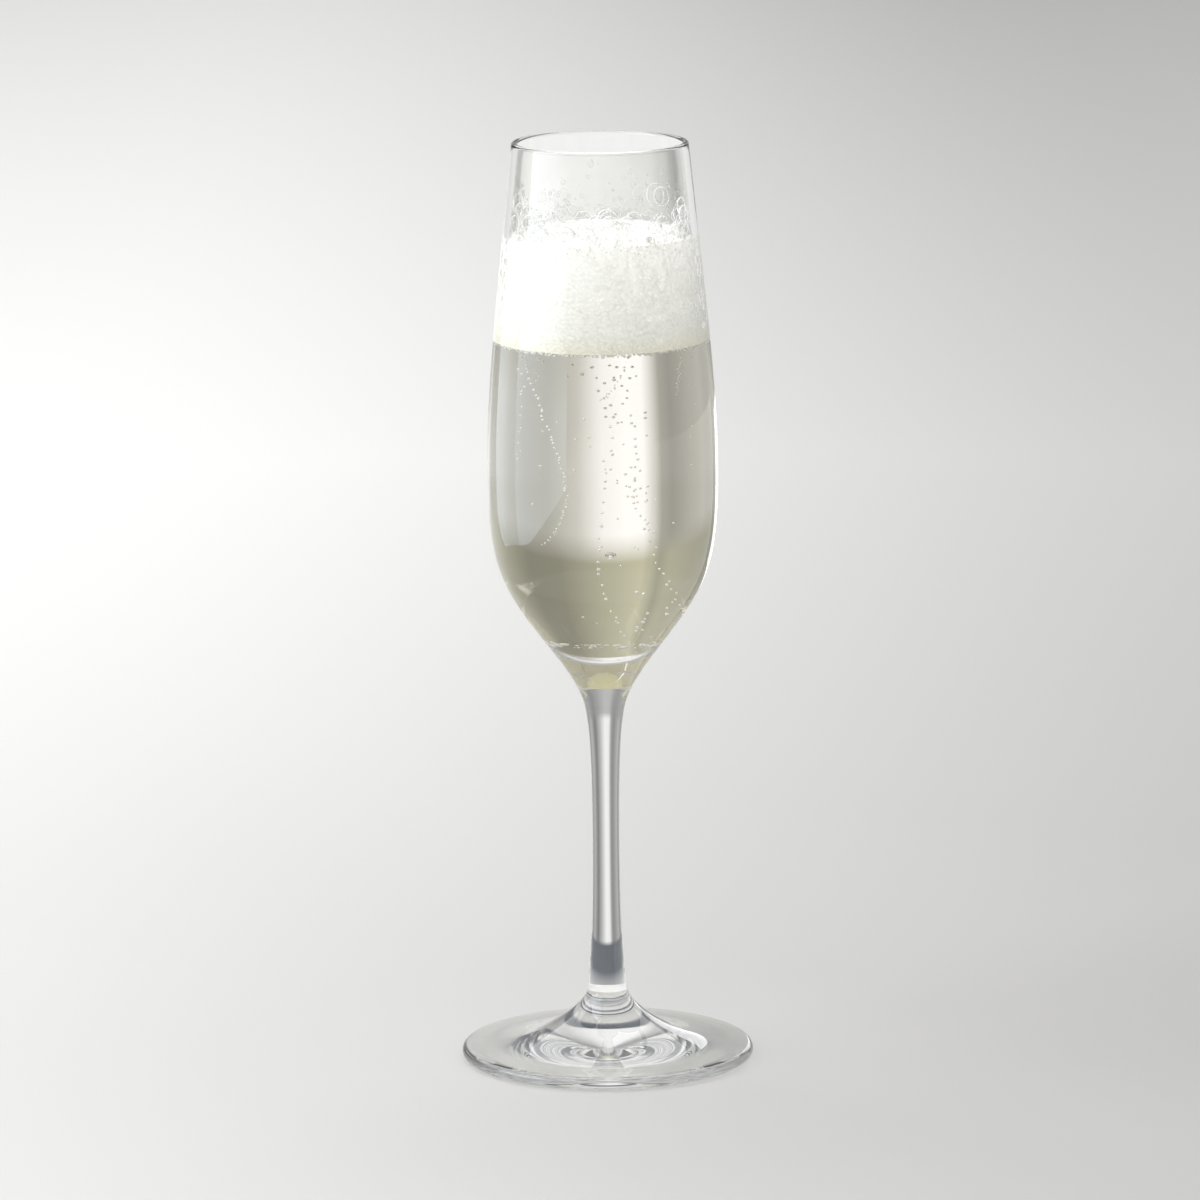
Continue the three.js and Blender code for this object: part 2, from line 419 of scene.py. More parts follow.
def foam():
    """Champagne foam: packed gas cells under a millimetre. Every film scatters, so the cells are
    white and faintly straw where they are wet, with painted shade in the seams between them, a
    painted darker top and a painted glow that rises towards the top."""
    material, tree = new_material("champagne_foam")
    place = add(tree, "ShaderNodeTexCoord").outputs["Object"]
    cells = add(tree, "ShaderNodeTexVoronoi", {"Vector": place, "Scale": 1 / (0.85 * MM)})
    patches = add(tree, "ShaderNodeTexNoise", {
        "Vector": place, "Scale": 1 / (6 * MM), "Detail": 3.0,
    })
    # painted shade: the seams between the cells are darkened towards olive grey, more in some
    # patches
    seams = add(tree, "ShaderNodeMapRange", {
        0: cells.outputs["Distance"], 1: 0.3, 2: 0.9, 3: 0.0, 4: 0.17,
    })
    uneven = add(tree, "ShaderNodeMapRange", {
        0: patches.outputs[0], 1: 0.35, 2: 0.7, 3: 0.4, 4: 1.3,
    })
    darker = add(tree, "ShaderNodeMath", {0: seams.outputs[0], 1: uneven.outputs[0]},
                 operation="MULTIPLY")
    wet = add(tree, "ShaderNodeMix", {
        0: share_of_climb(tree, DRINK_LEVEL - 1 * MM, DRINK_LEVEL + 5 * MM),
        6: linear("#efecd9"), 7: linear("#f9f9f5"),
    }, data_type="RGBA")
    shade = add(tree, "ShaderNodeMix", {
        0: darker.outputs[0], 6: wet.outputs[2], 7: linear("#8f8c7a"),
    }, data_type="RGBA")
    # painted shade: the top is painted a little darker than the side, against the light that falls
    # on it from above; the coarse top also lets more of the light in
    painted_top_shade = add(tree, "ShaderNodeMix", {
        0: share_of_climb(tree, FOAM_EDGE, FOAM_TOP - 1 * MM),
        6: (1, 1, 1, 1), 7: (0.84, 0.845, 0.85, 1),
    }, data_type="RGBA")
    tone = add(tree, "ShaderNodeMix", {0: 1.0, 6: shade.outputs[2], 7: painted_top_shade.outputs[2]},
               data_type="RGBA", blend_type="MULTIPLY")
    bulge = add(tree, "ShaderNodeBump", {
        "Height": cells.outputs["Distance"], "Strength": 0.6, "Distance": 0.3 * MM,
    }, invert=True)
    # painted glow: an emission that rises towards the foam's edge stands in for the light from the
    # open top that soaks down inside the foam
    painted_soak_glow = add(tree, "ShaderNodeMath", {
        0: share_of_climb(tree, DRINK_LEVEL + 4 * MM, FOAM_EDGE), 1: 0.12,
    }, operation="MULTIPLY")
    white = add(tree, "ShaderNodeBsdfPrincipled", {
        "Base Color": tone.outputs[2], "Roughness": 0.4, "Normal": bulge.outputs[0],
        "Emission Color": (1, 1, 1, 1), "Emission Strength": painted_soak_glow.outputs[0],
    })
    add(tree, "ShaderNodeOutputMaterial", {"Surface": white.outputs[0]})
    return material


def large_bubble():
    """A gas bubble of a millimetre or more, big enough to show the light that it bends."""
    material, tree = new_material("large_gas_bubble")
    clear = add(tree, "ShaderNodeBsdfGlass", {"Color": (1, 1, 1, 1), "IOR": AIR_BUBBLE_IOR})
    surface = let_lamps_through(tree, clear.outputs[0], linear("#e8e8e8"))
    add(tree, "ShaderNodeOutputMaterial", {"Surface": surface})
    return material


def wall_droplet():
    """A droplet on the wall: clear in the middle, where it is nearly flat, with a painted grey
    shade at its edge and a wet gleam."""
    material, tree = new_material("champagne_splash")
    edge = add(tree, "ShaderNodeLayerWeight", {"Blend": 0.5})
    shown = add(tree, "ShaderNodeMapRange", {
        0: edge.outputs["Facing"], 1: 0.2, 2: 0.7, 3: 0.1, 4: 0.75,
    })
    # painted shade: the colour goes from pale grey to grey towards the edge
    tone = add(tree, "ShaderNodeMapRange", {
        0: edge.outputs["Facing"], 1: 0.3, 2: 0.75, 3: 0.7, 4: 0.3,
    })
    drop = add(tree, "ShaderNodeBsdfPrincipled", {
        "Base Color": tone.outputs[0], "Roughness": 0.08, "IOR": CHAMPAGNE_IOR,
        "Alpha": shown.outputs[0],
    })
    add(tree, "ShaderNodeOutputMaterial", {"Surface": drop.outputs[0]})
    return material


def silvery_bubble():
    """A gas bubble under a millimetre: total reflection fills most of it, so its white colour is a
    painted reflection, a silver-white bead that gleams towards the lamp and goes dark on its far
    side."""
    material, tree = new_material("rising_gas_bubble")
    # painted reflection: the white colour stands in for the total reflection
    bead = add(tree, "ShaderNodeBsdfPrincipled", {
        "Base Color": linear("#eeeeec"), "Roughness": 0.2, "IOR": CHAMPAGNE_IOR, "Alpha": 0.9,
    })
    add(tree, "ShaderNodeOutputMaterial", {"Surface": bead.outputs[0]})
    return material


def liquid_film():
    """A bubble's film, far thinner than it can bend light: clear face on, with a painted grey line
    near its edge and a painted white one at the very edge, standing in for the reflection where the
    look runs along inside the film."""
    material, tree = new_material("foam_bubble_film")
    edge = add(tree, "ShaderNodeLayerWeight", {"Blend": 0.5})
    shown = add(tree, "ShaderNodeMapRange", {
        0: edge.outputs["Facing"], 1: 0.4, 2: 0.8, 3: 0.03, 4: 0.75,
    })
    # painted reflection: the film's colour goes from grey to white towards the very edge
    tone = add(tree, "ShaderNodeMapRange", {
        0: edge.outputs["Facing"], 1: 0.45, 2: 0.8, 3: 0.45, 4: 1.0,
    })
    clear = add(tree, "ShaderNodeBsdfTransparent", {"Color": (1, 1, 1, 1)})
    film = add(tree, "ShaderNodeBsdfDiffuse", {"Color": tone.outputs[0]})
    mixed = add(tree, "ShaderNodeMixShader", {
        0: shown.outputs[0], 1: clear.outputs[0], 2: film.outputs[0],
    })
    add(tree, "ShaderNodeOutputMaterial", {"Surface": mixed.outputs[0]})
    return material


def foam_bead():
    """One bubble of the coarse foam on top: as white as the foam, and smooth."""
    material, tree = new_material("coarse_foam_bubble")
    bead = add(tree, "ShaderNodeBsdfPrincipled", {
        "Base Color": linear("#f6f5f1"), "Roughness": 0.3, "Alpha": 0.75,
    })
    add(tree, "ShaderNodeOutputMaterial", {"Surface": bead.outputs[0]})
    return material


DRY_ACRYLIC = moulded_acrylic("moulded_acrylic", ACRYLIC_IOR)
WET_ACRYLIC = moulded_acrylic("moulded_acrylic_under_wine", ACRYLIC_IOR / CHAMPAGNE_IOR, ripple=0.0)
BONDED = bonded_joint()
WINE = sparkling_wine()
FOAM = foam()
RISING_GAS = silvery_bubble()
LARGE_GAS = large_bubble()
SPLASH = wall_droplet()
FILM = liquid_film()
FOAM_BEAD = foam_bead()


# ---------------------------------------------------------------- the clear pieces

def make_bowl():
    """The bowl's skin. Its inside is wetted up to the foam's edge, but for small dry pockets."""
    inside = bowl_inside()
    lip_centre = (rim + inside[-1]) / 2
    lip_radius = (rim[0] - inside[-1, 0]) / 2
    lip = arc(lip_centre, lip_radius, 0, 180, 18)
    points = outline(at(0, BOWL_JOINT_HEIGHT), bowl_outside, lip, inside[::-1])
    band_height = (points[1:, 1] + points[:-1, 1]) / 2
    is_inside = np.arange(len(points) - 1) >= len(bowl_outside) + len(lip) - 2
    finish = np.repeat(np.where(is_inside & (band_height < FOAM_EDGE), 1, 0)[:, None],
                       AROUND, axis=1)
    # the foam leaves small dry pockets against the wall, more of them higher up
    beside_foam = is_inside & (band_height > DRINK_LEVEL + 1.5 * MM)
    dry_share = np.clip((band_height - DRINK_LEVEL) / (FOAM_TOP - DRINK_LEVEL), 0, 1) * 0.5
    dry = CHANCE.uniform(size=finish.shape) < dry_share[:, None]
    finish[beside_foam[:, None] & dry] = 0
    finish[0] = 2  # the bonded face
    return turned("bowl_clear", points, [DRY_ACRYLIC, WET_ACRYLIC, BONDED], finish)


def make_stem():
    """The solid waisted stem, with a bonded face at each end."""
    points = outline(
        at(0, FOOT_JOINT_HEIGHT),
        bend(foot_joint, STEM_FOOT_LEAN, STEM_UP_FROM_FOOT, 0, WAIST_DOWN, waist, 40),
        bend(waist, 0, WAIST_UP, STEM_TOP_LEAN, STEM_DOWN_FROM_BOWL, bowl_joint, 40),
        at(0, BOWL_JOINT_HEIGHT),
    )
    finish = np.zeros(len(points) - 1, int)
    finish[0] = finish[-1] = 1
    return turned("stem_clear", points, [DRY_ACRYLIC, BONDED], finish)


def make_foot():
    """The hollow-bottomed foot, its rounded lip, its plate and the hub up to the bonded face."""
    lip_radius = LIP_THICKNESS / 2
    lip_centre = at(FOOT_RADIUS - lip_radius, lip_radius)
    lip_top = at(lip_centre[0], LIP_THICKNESS)
    plate = at(PLATE_RADIUS, PLATE_HEIGHT)
    points = outline(
        sweep(at(0, HOLLOW_HEIGHT), at(HOLLOW_OUT, HOLLOW_HEIGHT),
              at(RING_INNER_RADIUS - RING_IN, RING_IN * PLATE_FALL), at(RING_INNER_RADIUS, 0), 40),
        arc(lip_centre, lip_radius, -90, 90, 24),
        sweep(lip_top, lip_top, plate + at(PLATE_OUT, -PLATE_OUT * PLATE_FALL), plate, 12),
        sweep(plate, plate + at(-PLATE_IN, PLATE_IN * PLATE_FALL),
              along(foot_joint, HUB_LEAN, -HUB_DOWN), foot_joint, 60),
        at(0, FOOT_JOINT_HEIGHT),
    )
    finish = np.zeros(len(points) - 1, int)
    finish[-1] = 1
    return turned("foot_clear", points, [DRY_ACRYLIC, BONDED], finish)


# ---------------------------------------------------------------- the drink

def make_champagne():
    """The drink, turned from the bowl's inside line with a level top."""
    side = bowl_inside(SKIN_GAP)
    side = side[side[:, 1] < DRINK_LEVEL - 0.5 * MM]
    level = DRINK_LEVEL - 0.05 * MM
    edge = at(inner_radius(DRINK_LEVEL, SKIN_GAP), level)
    points = outline(side, edge, at(0, level))
    return turned("champagne_body", points, [WINE])


def make_foam():
    """The head of foam: the wall's line again, under a low dome."""
    side_heights = np.linspace(DRINK_LEVEL, FOAM_EDGE, 60)
    side = np.column_stack([inner_radius(side_heights, SKIN_GAP), side_heights])
    edge = side[-1]
    dome = sweep(edge, at(edge[0] * 0.85, edge[1] + FOAM_DOME), at(edge[0] * 0.4, FOAM_TOP),
                 at(0, FOAM_TOP), 24)
    points = outline(at(0, DRINK_LEVEL), side, dome)
    return turned("foam", points, [FOAM])


# ---------------------------------------------------------------- gas, foam film and splashes

def place_in_drink(side, depth, height):
    """The true place of a bubble that looks side away from the axis when seen from the front.
    The drink bends the look: a ray that meets the wall at side = R sin a runs on inside at
    sin b = sin a / index, turned by a - b. depth is the share of its way across."""
    radius = inner_radius(height) + 1.2 * MM
    a = np.arcsin(np.clip(side / radius, -0.98, 0.98))
    b = np.arcsin(np.sin(a) / CHAMPAGNE_IOR)
    way = depth * 2 * radius * np.cos(b)
    x = side - way * np.sin(a - b)
    y = -radius * np.cos(a) + way * np.cos(a - b)
    reach = np.hypot(x, y)
    most = inner_radius(height) - 0.8 * MM
    shrink = np.minimum(1, most / reach)
    return np.column_stack([x * shrink, y * shrink, height])


def train(points, count, small, large, depth, stray=0.25):
    """A train of bubbles up a bent line of (side, height) points in millimetres. They swell and
    draw apart on their way up: the gaps and the sizes both grow with the square root."""
    points = np.array(points, dtype=float) * MM
    run = np.concatenate([[0], np.cumsum(np.linalg.norm(np.diff(points, axis=0), axis=1))])
    up = (np.arange(count) + 0.5 + 0.3 * CHANCE.standard_normal(count)) / count
    up = np.clip(up, 0, 1) ** 1.35
    side = np.interp(up * run[-1], run, points[:, 0]) + stray * MM * CHANCE.standard_normal(count)
    height = np.interp(up * run[-1], run, points[:, 1])
    size = (small + (large - small) * np.sqrt(up)) * MM * CHANCE.uniform(0.85, 1.15, count)
    return place_in_drink(side, depth, height), size


def scatter(side_from, side_to, low_height, high_height, count, small, large):
    """Loose bubbles anywhere in a stretch of the drink."""
    side = CHANCE.uniform(side_from, side_to, count) * MM
    height = CHANCE.uniform(low_height, high_height, count) * MM
    depth = CHANCE.uniform(0.15, 0.85, count)
    return place_in_drink(side, depth, height), CHANCE.uniform(small, large, count) * MM


def make_rising_bubbles():
    groups = [
        # the train that leaves the left wall and bends back towards it
        train([(-15.4, 138.5), (-11.9, 142), (-9, 150), (-10.7, 160), (-15.4, 173), (-20, 186)],
              52, 0.16, 0.36, 0.25),
        # the column that starts on the floor right of the middle
        train([(8.5, 110), (0, 126), (-1.4, 131), (0, 146), (0.5, 155)], 27, 0.22, 0.36, 0.4),
        train([(0.5, 155), (3, 163), (1.6, 172), (-1, 179), (-5, 186)], 14, 0.3, 0.36, 0.45, 0.8),
        # the train off the right wall
        train([(21, 121), (15, 128), (12, 136), (9, 146), (8.5, 160), (6, 172), (7.5, 187)],
              44, 0.2, 0.34, 0.55, 0.9),
        # a fine slanting one, just under the foam
        train([(0, 176), (3.6, 180), (6.2, 185)], 16, 0.16, 0.24, 0.2),
        # threads close to the right wall
        train([(18.7, 177), (19.2, 181), (19.8, 187)], 26, 0.13, 0.28, 0.1),
        train([(22, 158), (22.4, 172), (22.6, 187)], 7, 0.24, 0.32, 0.1, 0.6),
        train([(-21.4, 160), (-20.6, 175), (-20.4, 186)], 12, 0.18, 0.3, 0.12, 0.4),
        scatter(8, 18, 116, 128, 12, 0.26, 0.4),
        scatter(-22, -14, 178, 187, 12, 0.22, 0.36),
        scatter(-8, 12, 158, 186, 22, 0.24, 0.36),
        scatter(3, 12, 134, 156, 26, 0.22, 0.32),
        scatter(-18, 20, 112, 186, 16, 0.18, 0.3),
    ]
    centres = np.concatenate([group[0] for group in groups])
    sizes = np.concatenate([group[1] for group in groups])
    return beads("rising_bubbles", centres, sizes[:, None] * [1, 1, 0.92], RISING_GAS)


def make_large_bubble():
    """The one bubble that has grown past a millimetre, flattened by its climb."""
    centre = place_in_drink(np.array([1.8 * MM]), 0.3, np.array([136 * MM]))
    half_sizes = np.array([[1.25 * MM, 1.25 * MM, 0.75 * MM]])
    return beads("large_bubble", centre, half_sizes, LARGE_GAS, shape=FINE_BEAD)


def make_clinging_bubbles():
    """Gas that clings where the floor turns up into the wall, in uneven flat blisters."""
    count = 58
    a = np.linspace(0, 2 * math.pi, count, endpoint=False) + CHANCE.normal(0, 0.07, count)
    height = CAVITY_FLOOR + CORNER_RISE + CHANCE.uniform(-0.7, 0.5, count) * MM
    radius = inner_radius(height) - 0.6 * MM
    centres = round_axis(radius, a, height)
    width = CHANCE.gamma(3.0, 0.16, count).clip(0.2, 0.95) * MM
    sizes = width[:, None] * np.column_stack([
        CHANCE.uniform(0.7, 1.0, count),
        CHANCE.uniform(0.7, 1.0, count),
        CHANCE.uniform(0.35, 0.6, count),
    ])
    return beads("clinging_bubbles", centres, sizes, RISING_GAS)


def make_splashes():
    """Droplets that the rising foam threw on the dry wall: flat caps, thicker and closer together
    near the foam."""
    count = 420
    climb = CHANCE.beta(0.8, 2.3, count)
    height = FOAM_EDGE + climb * 19 * MM
    a = CHANCE.uniform(0, 2 * math.pi, count)
    size = CHANCE.gamma(2.6, 0.13, count).clip(0.14, 0.85) * MM
    thickness = 0.35 * size
    radius = inner_radius(height) - thickness - 0.02 * MM
    centres = round_axis(radius, a, height)
    stretch = CHANCE.uniform(0.8, 1.7, count)
    lean = CHANCE.normal(0, 0.7, count)
    sizes = np.column_stack([thickness, size, size * stretch])
    # columns of each turn: out from the wall, along it, and up it, leaned over by a little
    out, level = outward_and_level(a)
    up = np.array([0, 0, 1.0])
    side = level * np.cos(lean)[:, None] + up * np.sin(lean)[:, None]
    rise = up * np.cos(lean)[:, None] - level * np.sin(lean)[:, None]
    turns = np.stack([out, side, rise], axis=-1)
    return beads("wall_splashes", centres, sizes, SPLASH, turns)


def make_film_bubbles():
    """The clear crown of the foam: open bubbles a few millimetres across, packed side by side,
    more of them against the wall, where some have climbed onto one another."""
    count = 190
    a = CHANCE.uniform(0, 2 * math.pi, count)
    size = CHANCE.gamma(3.0, 0.4, count).clip(0.5, 2.4) * MM
    most = inner_radius(FOAM_TOP) - size * 0.97
    radius = most * (1 - 0.9 * CHANCE.uniform(0, 1, count) ** 2.2)
    climbed = CHANCE.uniform(0, 1, count) ** 3 * 3.2 * MM * (radius / most) ** 2
    height = FOAM_TOP - 1.8 * MM + size * 0.55 + climbed
    centres = round_axis(radius, a, height)
    return beads("film_bubbles", centres, size, FILM, shape=FINE_BEAD)


def make_wall_films():
    """The largest bubbles, which hang on the wall over the foam, flattened against it."""
    count = 34
    a = np.linspace(0, 2 * math.pi, count, endpoint=False) + CHANCE.normal(0, 0.09, count)
    size = CHANCE.uniform(1.2, 3.2, count) * MM
    height = FOAM_TOP - 1 * MM + size * 0.6 + CHANCE.uniform(0, 1, count) ** 1.6 * 6 * MM
    depth = size * 0.45
    radius = inner_radius(height) - depth - 0.05 * MM
    centres = round_axis(radius, a, height)
    out, level = outward_and_level(a)
    up = np.tile([0, 0, 1.0], (count, 1))
    sizes = np.column_stack([depth, size, size * CHANCE.uniform(0.8, 1.05, count)])
    turns = np.stack([out, level, up], axis=-1)
    return beads("wall_films", centres, sizes, FILM, turns, FINE_BEAD)


def make_coarse_foam():
    """White bubbles up to a millimetre that roughen the top of the foam and its upper edge."""
    count = 1500
    a = CHANCE.uniform(0, 2 * math.pi, count)
    size = CHANCE.gamma(4.0, 0.085, count).clip(0.16, 0.8) * MM
    drop = CHANCE.uniform(0, 1, count) ** 2 * 3.5 * MM * (CHANCE.uniform(size=count) < 0.4)
    most = inner_radius(FOAM_EDGE - drop) - size * 0.9
    share = np.where(drop > 0, 1.0, np.sqrt(CHANCE.uniform(0, 1, count)))
    radius = most * share
    dome = FOAM_DOME * (1 - share ** 2)
    height = FOAM_TOP - 2.1 * MM + dome - drop + np.where(drop > 0, 0, 0.3 * size)
    centres = round_axis(radius, a, height)
    return beads("coarse_foam", centres, size, FOAM_BEAD)


def make_waterline_bubbles():
    """The fine bubbles that the foam's lower edge is made of, three uneven rows of them."""
    count = 620
    a = np.tile(np.linspace(0, 2 * math.pi, count // 3 + 1)[:-1], 3)[:count]
    a = a + CHANCE.normal(0, 0.01, len(a))
    height = DRINK_LEVEL + np.repeat([-0.3, 0.3, 0.85], count // 3) * MM
    height = height + CHANCE.normal(0, 0.16, len(a)) * MM
    size = CHANCE.uniform(0.28, 0.52, len(a)) * MM
    radius = inner_radius(height) - size - 0.02 * MM
    centres = round_axis(radius, a, height)
    return beads("waterline_bubbles", centres, size, FOAM_BEAD)


# ---------------------------------------------------------------- camera and studio

def aim(thing, place, target, roll=0.0):
    """Turns a camera or lamp at a place so that its -Z looks at the target."""
    look = (Vector(target) - Vector(place)).to_track_quat("-Z", "Y").to_matrix().to_4x4()
    thing.matrix_world = Matrix.Translation(place) @ look @ Matrix.Rotation(roll, 4, "Z")


CAMERA_DISTANCE = 1.8195
CAMERA_ELEVATION = math.radians(11.2)
CAMERA_ROLL = math.radians(-0.518)
CAMERA_LENS = 211.5  # on a sensor 36 mm wide


def make_camera():
    """A long lens from the front and a little above, aimed just beside the flute's middle."""
    target = Vector((-0.985 * MM, 0, RIM_HEIGHT / 2 + 0.75 * MM))
    data = bpy.data.cameras.new("camera")
    data.sensor_width = 36
    data.lens = CAMERA_LENS
    data.clip_end = 50
    camera = bpy.data.objects.new("camera", data)
    bpy.context.collection.objects.link(camera)
    back = Vector((0, -math.cos(CAMERA_ELEVATION), math.sin(CAMERA_ELEVATION)))
    place = target + CAMERA_DISTANCE * back
    aim(camera, place, target, CAMERA_ROLL)
    bpy.context.scene.camera = camera


def softbox(name, place, target, size, power):
    """A square white lamp that the camera itself doesn't see."""
    lamp = bpy.data.lights.new(name, "AREA")
    lamp.shape = "SQUARE"
    lamp.size = size
    lamp.energy = power
    thing = bpy.data.objects.new(name, lamp)
    bpy.context.collection.objects.link(thing)
    aim(thing, place, target)
    thing.visible_camera = False
    return thing


def stage_finish(name, left_colour, right_colour):
    """Seamless matt paper with painted light and shade: painted lighter on the flute's left and
    darker on its right, a quarter darker near the flute as painted shade, and darker again under
    the left softbox, which is close to it, as painted shade that holds back its pool of light."""
    material, tree = new_material(name)
    place = add(tree, "ShaderNodeTexCoord").outputs["Object"]
    split = add(tree, "ShaderNodeSeparateXYZ", {0: place})
    # painted light and shade: the paper is lighter on the flute's left and darker on its right
    share = add(tree, "ShaderNodeMapRange", {
        0: split.outputs[0], 1: -0.24, 2: 0.30, 3: 0.0, 4: 1.0,
    }, interpolation_type="SMOOTHSTEP")
    paper = add(tree, "ShaderNodeMix", {
        0: share.outputs[0], 6: linear(left_colour), 7: linear(right_colour),
    }, data_type="RGBA")
    # painted shade: a quarter darker near the flute
    away = add(tree, "ShaderNodeVectorMath", {0: place}, operation="LENGTH")
    near = add(tree, "ShaderNodeMapRange", {
        0: away.outputs["Value"], 1: 0.1, 2: 0.9, 3: 0.74, 4: 1.0,
    })
    # painted shade under the left softbox, against its pool of light
    painted_shade_under_lamp = add(tree, "ShaderNodeMapRange", {
        0: split.outputs[0], 1: -1.3, 2: -0.4, 3: 0.4, 4: 1.0,
    }, interpolation_type="SMOOTHSTEP")
    depth = add(tree, "ShaderNodeMath", {0: near.outputs[0], 1: painted_shade_under_lamp.outputs[0]},
                operation="MULTIPLY")
    toned = add(tree, "ShaderNodeVectorMath", {0: paper.outputs[2], "Scale": depth.outputs[0]},
                operation="SCALE")
    matt = add(tree, "ShaderNodeBsdfPrincipled", {
        "Base Color": toned.outputs[0], "Roughness": 0.9, "Specular IOR Level": 0.1,
    })
    add(tree, "ShaderNodeOutputMaterial", {"Surface": matt.outputs[0]})
    return material


def band(name, points, from_degrees, to_degrees, finish, around=120):
    """A sheet turned part of the way about the axis: (radius sin a, -radius cos a, height), with a
    the turn from the front of the flute, anticlockwise from above."""
    a = np.radians(np.linspace(from_degrees, to_degrees, around + 1))
    radius, height = points[:, :1], points[:, 1:]
    grid = np.stack([radius * np.sin(a), -radius * np.cos(a), np.repeat(height, around + 1, 1)], -1)
    here = np.arange(around)
    across = around + 1
    faces = [
        np.column_stack([row + here, row + here + 1, row + here + across + 1, row + here + across])
        for row in np.arange(len(points) - 1) * across
    ]
    sheet = piece_from(name, grid.reshape(-1, 3), np.concatenate(faces).tolist(), [finish])
    return sheet


def make_sweep_stage():
    """A floor that curves up into a low wall all round, open to the sky of the studio."""
    points = outline(
        sweep(at(0, -0.2 * MM), at(1.0, -0.2 * MM), at(2.2, 0), at(3.0, 0), 8),
        arc(at(3.0, 1.0), 1.0, -90, 0, 10),
        at(4.0, 2.0),
    )
    band("studio_sweep", points, 0, 360, stage_finish("seamless_paper", "#e6e5e3", "#bcbbb9"), 72)


def glow(name, colour, radiance):
    """Plain even light."""
    material, tree = new_material(name)
    light = add(tree, "ShaderNodeEmission", {"Color": linear(colour), "Strength": radiance})
    add(tree, "ShaderNodeOutputMaterial", {"Surface": light.outputs[0]})
    return material


WINDOWS = 5.0  # how many times the room's pattern of window and wall comes round
RAMP_PEAK = 2.0  # a ramp holds strengths of up to this, and its light multiplies them back


def light_ramp(tree, share, values):
    """A light's strength at each share of the way round or up, from (share, strength) pairs."""
    ramp = add(tree, "ShaderNodeValToRGB", {0: share})
    elements = ramp.color_ramp.elements
    elements[1].position = 1
    for position, _ in values[1:-1]:
        elements.new(position)
    for element, (position, value) in zip(elements, values):
        element.position = position
        element.color = (*[value / RAMP_PEAK] * 3, 1)
    return ramp.outputs[0]


def share_of_turn(tree, repeats):
    """The share of the way round the axis, counted afresh in each of the repeats."""
    place = add(tree, "ShaderNodeTexCoord").outputs["Object"]
    turn = add(tree, "ShaderNodeTexGradient", {"Vector": place}, gradient_type="RADIAL")
    turns = add(tree, "ShaderNodeMath", {0: turn.outputs[1], 1: repeats}, operation="MULTIPLY")
    return add(tree, "ShaderNodeMath", {0: turns.outputs[0]}, operation="FRACT").outputs[0]


def glow_behind(material, tree, colour, crossed_from, crossed_to):
    """Light that only shows to a look which crossed so many clear skins on its way: two through a
    solid stem, four through the dry bowl, six through the drink."""
    path = add(tree, "ShaderNodeLightPath")
    crossed = path.outputs["Transmission Depth"]
    enough = add(tree, "ShaderNodeMath", {0: crossed, 1: crossed_from - 0.5},
                 operation="GREATER_THAN")
    few = add(tree, "ShaderNodeMath", {0: crossed, 1: crossed_to + 0.5}, operation="LESS_THAN")
    shown = add(tree, "ShaderNodeMath", {0: enough.outputs[0], 1: few.outputs[0]},
                operation="MULTIPLY")
    light = add(tree, "ShaderNodeEmission", {"Color": colour, "Strength": RAMP_PEAK})
    clear = add(tree, "ShaderNodeBsdfTransparent", {"Color": (1, 1, 1, 1)})
    mixed = add(tree, "ShaderNodeMixShader", {
        0: shown.outputs[0], 1: clear.outputs[0], 2: light.outputs[0],
    })
    add(tree, "ShaderNodeOutputMaterial", {"Surface": mixed.outputs[0]})
    return material


def window_light():
    """Five bright windows and grey walls between them, and a dim warm ceiling above them."""
    material, tree = new_material("window_light")
    windows = light_ramp(tree, share_of_turn(tree, WINDOWS), [
        (0.00, 0.31), (0.12, 0.43), (0.25, 0.50), (0.33, 0.44), (0.46, 0.40), (0.56, 0.42),
        (0.67, 0.63), (0.75, 1.00), (0.82, 1.12), (0.88, 1.10), (0.95, 0.38), (1.00, 0.31),
    ])
    brightness = add(tree, "ShaderNodeMapRange", {0: windows, 1: 0.22, 2: 0.5, 3: 0.0, 4: 1.0})
    tint = add(tree, "ShaderNodeMix", {
        0: brightness.outputs[0], 6: (1.0, 0.985, 0.93, 1), 7: (1.0, 0.985, 1.03, 1),
    }, data_type="RGBA")
    toned = add(tree, "ShaderNodeMix", {0: 1.0, 6: windows, 7: tint.outputs[2]},
                data_type="RGBA", blend_type="MULTIPLY")
    ceiling = light_ramp(tree, share_of_turn(tree, WINDOWS), [
        (0.00, 0.42), (0.25, 0.30), (0.45, 0.20), (0.60, 0.24), (0.75, 0.44), (0.88, 0.58),
        (0.95, 0.34), (1.00, 0.42),
    ])
    warm = add(tree, "ShaderNodeMix", {0: 1.0, 6: ceiling, 7: (1.0, 0.97, 0.75, 1)},
               data_type="RGBA", blend_type="MULTIPLY")
    colour = add(tree, "ShaderNodeMix", {
        0: share_of_climb(tree, 0.080, 0.108), 6: toned.outputs[2], 7: warm.outputs[2],
    }, data_type="RGBA")
    return glow_behind(material, tree, colour.outputs[2], 5, 99)


def backdrop_light():
    """What the dry wall shows: the pale backdrop straight behind it, and the grey room beside it
    where the wall's edges and the rim bend the look away."""
    material, tree = new_material("backdrop_light")
    colour = light_ramp(tree, share_of_turn(tree, WINDOWS), [
        (0.00, 0.50), (0.20, 0.70), (0.40, 0.85), (0.54, 0.60), (0.60, 0.28), (0.64, 0.50),
        (0.69, 0.78), (0.78, 0.94), (0.88, 1.00), (0.93, 0.90), (0.955, 0.40), (1.00, 0.50),
    ])
    return glow_behind(material, tree, colour, 3, 4)


def rim_light():
    """The even light that the rim and the one wall behind it show."""
    material, tree = new_material("rim_light")
    return glow_behind(material, tree, linear("#b4b4b4"), 1, 2)


